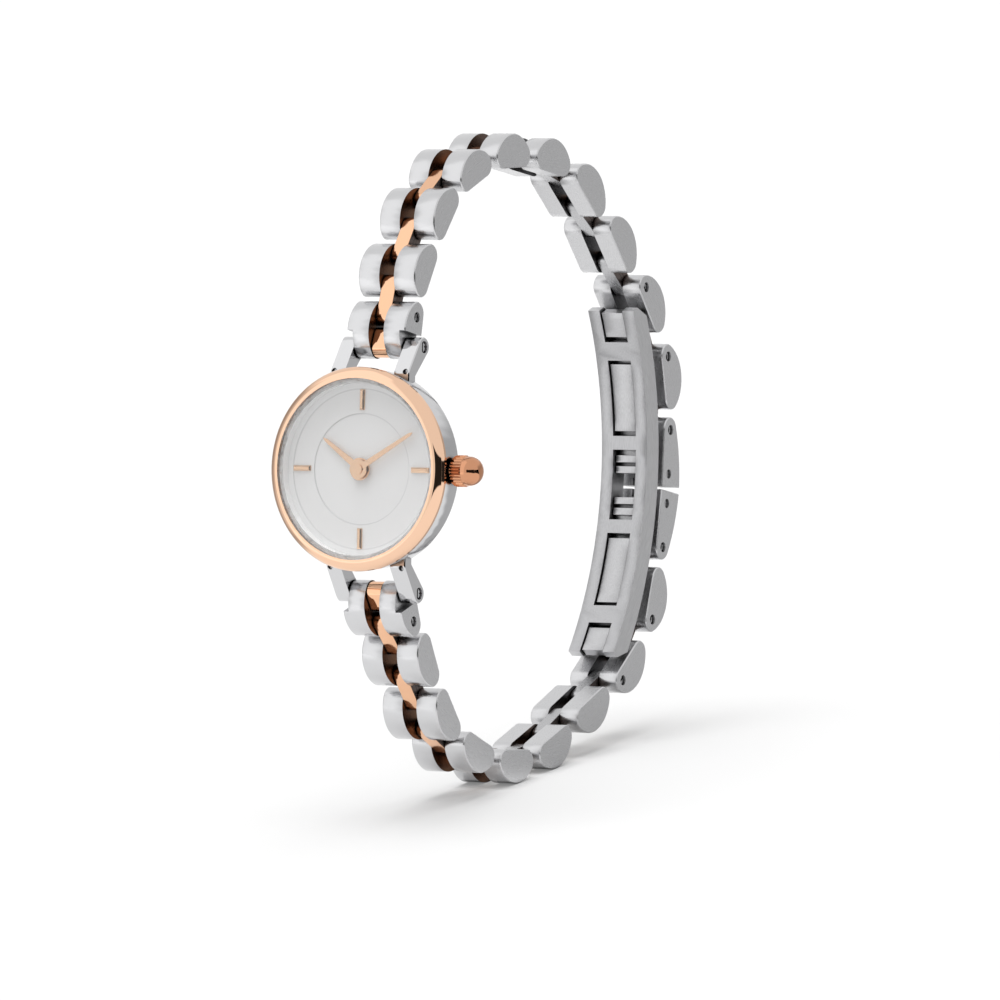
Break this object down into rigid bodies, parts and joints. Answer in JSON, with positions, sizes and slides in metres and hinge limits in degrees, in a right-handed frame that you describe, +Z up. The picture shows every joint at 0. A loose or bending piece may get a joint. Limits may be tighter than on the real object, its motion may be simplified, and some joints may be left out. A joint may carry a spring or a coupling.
{
  "type": "bracelet watch",
  "caption": "Small round wristwatch on a two-tone articulated metal bracelet with a folding clasp, standing upright as a closed loop.",
  "frame": {"origin": "middle of the outer face of the case back", "axes": "+X towards the crown, +Z up with the watch standing on bracelet rows 16 and 17, dial facing -Y and leaning back"},
  "size_m": [0.023, 0.0605, 0.0642],
  "materials": {
    "polished_steel": "polished stainless steel, brushed on the sides of the rows",
    "rose_gold": "polished, rose gold coloured",
    "crystal_glass": "clear, polished",
    "gasket": "matte",
    "brushed_back": "brushed",
    "dial_white": "satin white",
    "movement_brass": "satin"
  },
  "bodies": {
    "watch_case": {"case_middle": "polished_steel", "bezel": "rose_gold", "crystal": "crystal_glass", "crystal_gasket": "gasket", "case_back": "brushed_back", "case_back_gasket": "gasket", "dial": "dial_white", "hour_markers": "rose_gold", "movement": "movement_brass", "crown_tube": "polished_steel", "lug_screws": "polished_steel"},
    "hour_hand": {"hour_hand": "rose_gold"},
    "minute_hand": {"minute_hand": "rose_gold"},
    "crown_stem": {"crown_stem": "polished_steel"},
    "crown": {"crown": "rose_gold"},
    "row_01": {"row_01": "polished_steel", "end_centre_upper": "rose_gold"},
    "row_02": {"row_02": "polished_steel"},
    "row_03": {"row_03": "polished_steel"},
    "row_04": {"row_04": "polished_steel"},
    "row_05": {"row_05": "polished_steel"},
    "row_06": {"row_06": "polished_steel"},
    "row_07": {"row_07": "polished_steel"},
    "row_08": {"row_08": "polished_steel"},
    "row_09": {"row_09": "polished_steel"},
    "row_10": {"row_10": "polished_steel"},
    "row_11": {"row_11": "polished_steel"},
    "row_12": {"row_12": "polished_steel"},
    "row_13": {"row_13": "polished_steel"},
    "row_14": {"row_14": "polished_steel"},
    "row_15": {"row_15": "polished_steel"},
    "row_16": {"row_16": "polished_steel"},
    "row_17": {"row_17": "polished_steel"},
    "row_18": {"row_18": "polished_steel"},
    "row_19": {"row_19": "polished_steel"},
    "row_20": {"row_20": "polished_steel"},
    "row_21": {"row_21": "polished_steel", "end_centre_lower": "rose_gold"},
    "centre_link_01": {"centre_link_01": "rose_gold"},
    "centre_link_02": {"centre_link_02": "rose_gold"},
    "centre_link_03": {"centre_link_03": "rose_gold"},
    "centre_link_04": {"centre_link_04": "rose_gold"},
    "centre_link_05": {"centre_link_05": "rose_gold"},
    "centre_link_06": {"centre_link_06": "rose_gold"},
    "centre_link_07": {"centre_link_07": "rose_gold"},
    "centre_link_08": {"centre_link_08": "rose_gold"},
    "centre_link_09": {"centre_link_09": "rose_gold"},
    "centre_link_10": {"centre_link_10": "rose_gold"},
    "centre_link_12": {"centre_link_12": "rose_gold"},
    "centre_link_13": {"centre_link_13": "rose_gold"},
    "centre_link_14": {"centre_link_14": "rose_gold"},
    "centre_link_15": {"centre_link_15": "rose_gold"},
    "centre_link_16": {"centre_link_16": "rose_gold"},
    "centre_link_17": {"centre_link_17": "rose_gold"},
    "centre_link_18": {"centre_link_18": "rose_gold"},
    "centre_link_19": {"centre_link_19": "rose_gold"},
    "centre_link_20": {"centre_link_20": "rose_gold"},
    "clasp_arm_upper": {"clasp_arm_upper": "polished_steel"},
    "clasp_base": {"clasp_base": "polished_steel"},
    "clasp_arm_lower": {"clasp_arm_lower": "polished_steel"}
  },
  "joints": [
    {"name": "minute_hand_turn", "type": "hinge", "parent": "watch_case", "child": "minute_hand", "pos_m": [0, -0.00348, 0.00066], "axis": [0, 0.9824, -0.1868], "continuous": true},
    {"name": "hour_hand_turn", "type": "hinge", "parent": "watch_case", "child": "hour_hand", "pos_m": [0, -0.00348, 0.00066], "axis": [0, 0.9824, -0.1868], "continuous": true},
    {"name": "crown_pull", "type": "slide", "parent": "watch_case", "child": "crown_stem", "axis": [1, 0, 0], "range_m": [0, 0.0008]},
    {"name": "crown_turn", "type": "hinge", "parent": "crown_stem", "child": "crown", "pos_m": [0.0101, -0.00251, 0.00048], "axis": [1, 0, 0], "continuous": true},
    {"name": "upper_lug_hinge", "type": "hinge", "parent": "watch_case", "child": "row_01", "pos_m": [0, 0.00225, 0.01184], "axis": [1, 0, 0], "range_deg": [0, 30]},
    {"name": "pivot_01_a", "type": "hinge", "parent": "row_01", "child": "centre_link_01", "pos_m": [0, 0.00326, 0.01461], "axis": [1, 0, 0], "range_deg": [0, 10.08]},
    {"name": "pivot_01_b", "type": "hinge", "parent": "centre_link_01", "child": "row_02", "pos_m": [0, 0.00482, 0.01765], "axis": [1, 0, 0], "range_deg": [0, 15.68]},
    {"name": "pivot_02_a", "type": "hinge", "parent": "row_02", "child": "centre_link_02", "pos_m": [0, 0.00682, 0.02005], "axis": [1, 0, 0], "range_deg": [0, 6.63]},
    {"name": "pivot_02_b", "type": "hinge", "parent": "centre_link_02", "child": "row_03", "pos_m": [0, 0.00927, 0.02263], "axis": [1, 0, 0], "range_deg": [0, 7.83]},
    {"name": "pivot_03_a", "type": "hinge", "parent": "row_03", "child": "centre_link_03", "pos_m": [0, 0.01176, 0.02485], "axis": [1, 0, 0], "range_deg": [0, 17.77]},
    {"name": "pivot_03_b", "type": "hinge", "parent": "centre_link_03", "child": "row_04", "pos_m": [0, 0.01506, 0.02653], "axis": [1, 0, 0], "range_deg": [0, 15.78]},
    {"name": "pivot_04_a", "type": "hinge", "parent": "row_04", "child": "centre_link_04", "pos_m": [0, 0.0185, 0.02739], "axis": [1, 0, 0], "range_deg": [0, 12.47]},
    {"name": "pivot_04_b", "type": "hinge", "parent": "centre_link_04", "child": "row_05", "pos_m": [0, 0.02234, 0.02771], "axis": [1, 0, 0], "range_deg": [0, 14.27]},
    {"name": "pivot_05_a", "type": "hinge", "parent": "row_05", "child": "centre_link_05", "pos_m": [0, 0.02608, 0.02728], "axis": [1, 0, 0], "range_deg": [0, 8.86]},
    {"name": "pivot_05_b", "type": "hinge", "parent": "centre_link_05", "child": "row_06", "pos_m": [0, 0.02997, 0.02642], "axis": [1, 0, 0], "range_deg": [0, 8.26]},
    {"name": "pivot_06_a", "type": "hinge", "parent": "row_06", "child": "centre_link_06", "pos_m": [0, 0.03377, 0.02521], "axis": [1, 0, 0], "range_deg": [0, 11.85]},
    {"name": "pivot_06_b", "type": "hinge", "parent": "centre_link_06", "child": "row_07", "pos_m": [0, 0.03746, 0.02336], "axis": [1, 0, 0], "range_deg": [0, 26.25]},
    {"name": "pivot_07_a", "type": "hinge", "parent": "row_07", "child": "centre_link_07", "pos_m": [0, 0.04017, 0.02015], "axis": [1, 0, 0], "range_deg": [0, 3]},
    {"name": "pivot_07_b", "type": "hinge", "parent": "centre_link_07", "child": "row_08", "pos_m": [0, 0.04317, 0.01721], "axis": [1, 0, 0], "range_deg": [0, 17.09]},
    {"name": "pivot_08_a", "type": "hinge", "parent": "row_08", "child": "centre_link_08", "pos_m": [0, 0.04536, 0.01363], "axis": [1, 0, 0], "range_deg": [0, 3]},
    {"name": "pivot_08_b", "type": "hinge", "parent": "centre_link_08", "child": "row_09", "pos_m": [0, 0.04804, 0.01039], "axis": [1, 0, 0], "range_deg": [0, 13.73]},
    {"name": "pivot_09_a", "type": "hinge", "parent": "row_09", "child": "centre_link_09", "pos_m": [0, 0.05007, 0.00672], "axis": [1, 0, 0], "range_deg": [0, 14.32]},
    {"name": "pivot_09_b", "type": "hinge", "parent": "centre_link_09", "child": "row_10", "pos_m": [0, 0.05135, 0.00272], "axis": [1, 0, 0], "range_deg": [0, 18.12]},
    {"name": "pivot_10_a", "type": "hinge", "parent": "row_10", "child": "centre_link_10", "pos_m": [0, 0.05153, -0.00148], "axis": [1, 0, 0], "range_deg": [0, 19.62]},
    {"name": "pivot_10_b", "type": "hinge", "parent": "centre_link_10", "child": "row_11", "pos_m": [0, 0.0507, -0.00478], "axis": [1, 0, 0], "range_deg": [0, 3]},
    {"name": "pivot_12_a", "type": "hinge", "parent": "row_12", "child": "centre_link_12", "pos_m": [0, 0.04744, -0.01634], "axis": [1, 0, 0], "range_deg": [0, 6.51]},
    {"name": "pivot_12_b", "type": "hinge", "parent": "centre_link_12", "child": "row_13", "pos_m": [0, 0.04618, -0.0195], "axis": [1, 0, 0], "range_deg": [0, 8.11]},
    {"name": "pivot_13_a", "type": "hinge", "parent": "row_13", "child": "centre_link_13", "pos_m": [0, 0.04428, -0.02324], "axis": [1, 0, 0], "range_deg": [0, 21.76]},
    {"name": "pivot_13_b", "type": "hinge", "parent": "centre_link_13", "child": "row_14", "pos_m": [0, 0.04128, -0.02618], "axis": [1, 0, 0], "range_deg": [0, 17.76]},
    {"name": "pivot_14_a", "type": "hinge", "parent": "row_14", "child": "centre_link_14", "pos_m": [0, 0.03763, -0.02826], "axis": [1, 0, 0], "range_deg": [0, 16.46]},
    {"name": "pivot_14_b", "type": "hinge", "parent": "centre_link_14", "child": "row_15", "pos_m": [0, 0.0336, -0.02943], "axis": [1, 0, 0], "range_deg": [0, 3.86]},
    {"name": "pivot_15_a", "type": "hinge", "parent": "row_15", "child": "centre_link_15", "pos_m": [0, 0.02955, -0.03054], "axis": [1, 0, 0], "range_deg": [0, 3]},
    {"name": "pivot_15_b", "type": "hinge", "parent": "centre_link_15", "child": "row_16", "pos_m": [0, 0.02562, -0.0318], "axis": [1, 0, 0], "range_deg": [0, 7.85]},
    {"name": "pivot_16_a", "type": "hinge", "parent": "row_16", "child": "centre_link_16", "pos_m": [0, 0.02173, -0.03268], "axis": [1, 0, 0], "range_deg": [0, 15.85]},
    {"name": "pivot_16_b", "type": "hinge", "parent": "centre_link_16", "child": "row_17", "pos_m": [0, 0.01774, -0.03268], "axis": [1, 0, 0], "range_deg": [0, 14.45]},
    {"name": "pivot_17_a", "type": "hinge", "parent": "row_17", "child": "centre_link_17", "pos_m": [0, 0.01405, -0.03194], "axis": [1, 0, 0], "range_deg": [0, 10.54]},
    {"name": "pivot_17_b", "type": "hinge", "parent": "centre_link_17", "child": "row_18", "pos_m": [0, 0.01042, -0.03068], "axis": [1, 0, 0], "range_deg": [0, 14.94]},
    {"name": "pivot_18_a", "type": "hinge", "parent": "row_18", "child": "centre_link_18", "pos_m": [0, 0.00737, -0.02886], "axis": [1, 0, 0], "range_deg": [0, 9.54]},
    {"name": "pivot_18_b", "type": "hinge", "parent": "centre_link_18", "child": "row_19", "pos_m": [0, 0.00443, -0.0266], "axis": [1, 0, 0], "range_deg": [0, 27.54]},
    {"name": "pivot_19_a", "type": "hinge", "parent": "row_19", "child": "centre_link_19", "pos_m": [0, 0.00287, -0.02366], "axis": [1, 0, 0], "range_deg": [0, 3]},
    {"name": "pivot_19_b", "type": "hinge", "parent": "centre_link_19", "child": "row_20", "pos_m": [0, 0.00114, -0.02054], "axis": [1, 0, 0], "range_deg": [0, 14.34]},
    {"name": "pivot_20_a", "type": "hinge", "parent": "row_20", "child": "centre_link_20", "pos_m": [0, 0.00019, -0.01758], "axis": [1, 0, 0], "range_deg": [0, 3]},
    {"name": "pivot_20_b", "type": "hinge", "parent": "centre_link_20", "child": "row_21", "pos_m": [0, -0.00172, -0.01474], "axis": [1, 0, 0], "range_deg": [0, 26.68]},
    {"name": "clasp_open", "type": "hinge", "parent": "row_11", "child": "clasp_arm_upper", "pos_m": [0, 0.04966, -0.00916], "axis": [1, 0, 0], "range_deg": [0, 120]},
    {"name": "clasp_hinge_upper", "type": "hinge", "parent": "clasp_arm_upper", "child": "clasp_base", "pos_m": [0, 0.0468, 0.00706], "axis": [1, 0, 0], "range_deg": [-120, 0]},
    {"name": "clasp_hinge_lower", "type": "hinge", "parent": "clasp_base", "child": "clasp_arm_lower", "pos_m": [0, 0.03836, -0.02474], "axis": [1, 0, 0], "range_deg": [-120, 0]},
    {"name": "clasp_pin_lower", "type": "hinge", "parent": "clasp_arm_lower", "child": "row_12", "pos_m": [0, 0.04884, -0.01206], "axis": [1, 0, 0], "range_deg": [0, 120]}
  ],
  "couplings": [
    {"joint": "hour_hand_turn", "follows": "minute_hand_turn", "ratio": 0.083333},
    {"joint": "clasp_hinge_upper", "follows": "clasp_open", "ratio": -1},
    {"joint": "clasp_hinge_lower", "follows": "clasp_open", "ratio": -1},
    {"joint": "clasp_pin_lower", "follows": "clasp_open", "ratio": 1}
  ]
}
